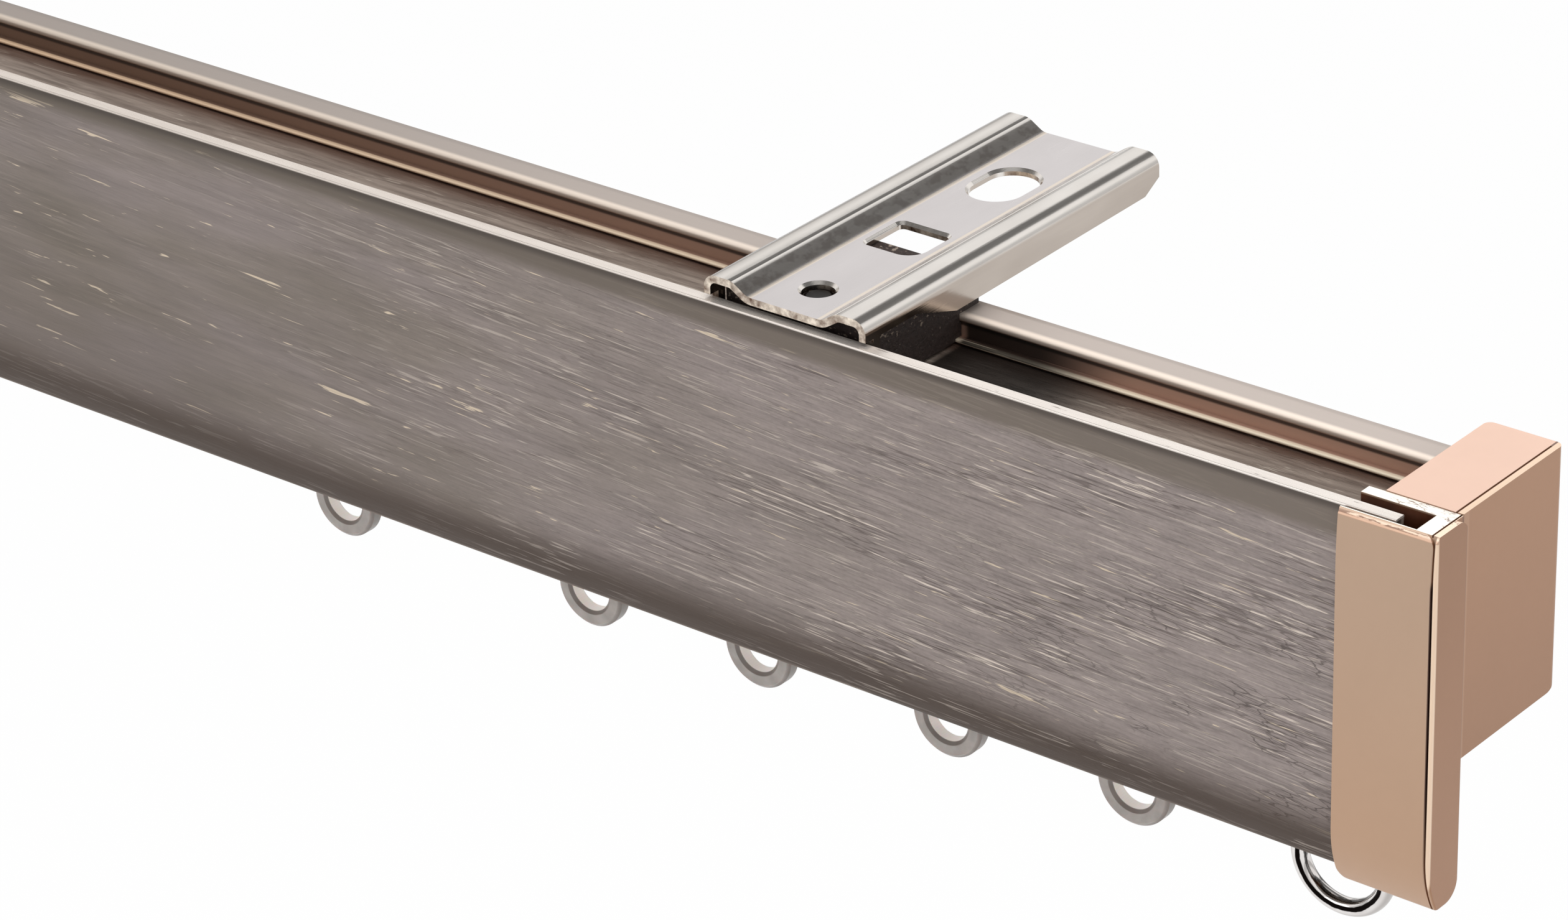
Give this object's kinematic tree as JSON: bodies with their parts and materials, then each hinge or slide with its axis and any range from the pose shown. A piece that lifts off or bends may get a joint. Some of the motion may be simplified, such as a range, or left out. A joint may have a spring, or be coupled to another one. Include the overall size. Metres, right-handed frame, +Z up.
{
  "type": "curtain track",
  "caption": "Ceiling curtain track with a tall front fascia, moulded end caps, clip-on brackets, sliding eye gliders and end stops with hanging rings.",
  "frame": {"origin": "mid-length of the track, above the middle of the glider slot, in the plane of the ceiling", "axes": "+X along the track, +Y away from the room, +Z up into the ceiling"},
  "size_m": [0.6, 0.0637, 0.0694],
  "materials": {
    "rail_metal": "satin champagne anodising",
    "fascia_metal": "finely brushed taupe anodising",
    "cap_moulding": "satin rose-gold coating on a moulding",
    "bracket_steel": "bright nickel-plated pressed steel",
    "block_moulding": "dark rough moulding",
    "screw_steel": "zinc-plated steel",
    "stop_moulding": "smooth gray moulding",
    "glider_moulding": "slightly translucent gray moulding",
    "ring_chrome": "polished chrome"
  },
  "bodies": {
    "track": {"track_rail": "rail_metal", "fascia_panel": "fascia_metal", "end_cap_right": "cap_moulding", "bracket_plate_right": "bracket_steel", "clamp_block_right": "block_moulding", "clamp_screw_right": "screw_steel", "end_stop_right": "stop_moulding", "stop_screw_right": "screw_steel", "end_cap_left": "cap_moulding", "bracket_plate_left": "bracket_steel", "clamp_block_left": "block_moulding", "clamp_screw_left": "screw_steel", "end_stop_left": "stop_moulding", "stop_screw_left": "screw_steel"},
    "glider_01": {"glider_01": "glider_moulding"},
    "glider_02": {"glider_02": "glider_moulding"},
    "glider_03": {"glider_03": "glider_moulding"},
    "glider_04": {"glider_04": "glider_moulding"},
    "glider_05": {"glider_05": "glider_moulding"},
    "glider_06": {"glider_06": "glider_moulding"},
    "glider_07": {"glider_07": "glider_moulding"},
    "glider_08": {"glider_08": "glider_moulding"},
    "glider_09": {"glider_09": "glider_moulding"},
    "glider_10": {"glider_10": "glider_moulding"},
    "glider_11": {"glider_11": "glider_moulding"},
    "glider_12": {"glider_12": "glider_moulding"},
    "ring_right": {"stop_ring_right": "ring_chrome"},
    "ring_left": {"stop_ring_left": "ring_chrome"}
  },
  "joints": [
    {"name": "glider_01_slide", "type": "slide", "parent": "track", "child": "glider_01", "axis": [1, 0, 0], "range_m": [-0.0165, 0.0173]},
    {"name": "glider_02_slide", "type": "slide", "parent": "track", "child": "glider_02", "axis": [1, 0, 0], "range_m": [-0.0185, 0.0165]},
    {"name": "glider_03_slide", "type": "slide", "parent": "track", "child": "glider_03", "axis": [1, 0, 0], "range_m": [-0.0163, 0.0185]},
    {"name": "glider_04_slide", "type": "slide", "parent": "track", "child": "glider_04", "axis": [1, 0, 0], "range_m": [-0.0322, 0.0163]},
    {"name": "glider_05_slide", "type": "slide", "parent": "track", "child": "glider_05", "axis": [1, 0, 0], "range_m": [-0.0673, 0.0322]},
    {"name": "glider_06_slide", "type": "slide", "parent": "track", "child": "glider_06", "axis": [1, 0, 0], "range_m": [-0.0361, 0.0673]},
    {"name": "glider_07_slide", "type": "slide", "parent": "track", "child": "glider_07", "axis": [1, 0, 0], "range_m": [-0.0361, 0.0361]},
    {"name": "glider_08_slide", "type": "slide", "parent": "track", "child": "glider_08", "axis": [1, 0, 0], "range_m": [-0.0361, 0.0361]},
    {"name": "glider_09_slide", "type": "slide", "parent": "track", "child": "glider_09", "axis": [1, 0, 0], "range_m": [-0.0361, 0.0361]},
    {"name": "glider_10_slide", "type": "slide", "parent": "track", "child": "glider_10", "axis": [1, 0, 0], "range_m": [-0.0361, 0.0361]},
    {"name": "glider_11_slide", "type": "slide", "parent": "track", "child": "glider_11", "axis": [1, 0, 0], "range_m": [-0.0361, 0.0361]},
    {"name": "glider_12_slide", "type": "slide", "parent": "track", "child": "glider_12", "axis": [1, 0, 0], "range_m": [-0.0052, 0.0361]},
    {"name": "ring_right_swing", "type": "hinge", "parent": "track", "child": "ring_right", "pos_m": [0.2769, 0, -0.05555], "axis": [1, 0, 0], "range_deg": [-45, 45]},
    {"name": "ring_left_swing", "type": "hinge", "parent": "track", "child": "ring_left", "pos_m": [-0.2769, 0, -0.05555], "axis": [1, 0, 0], "range_deg": [-45, 45]}
  ]
}
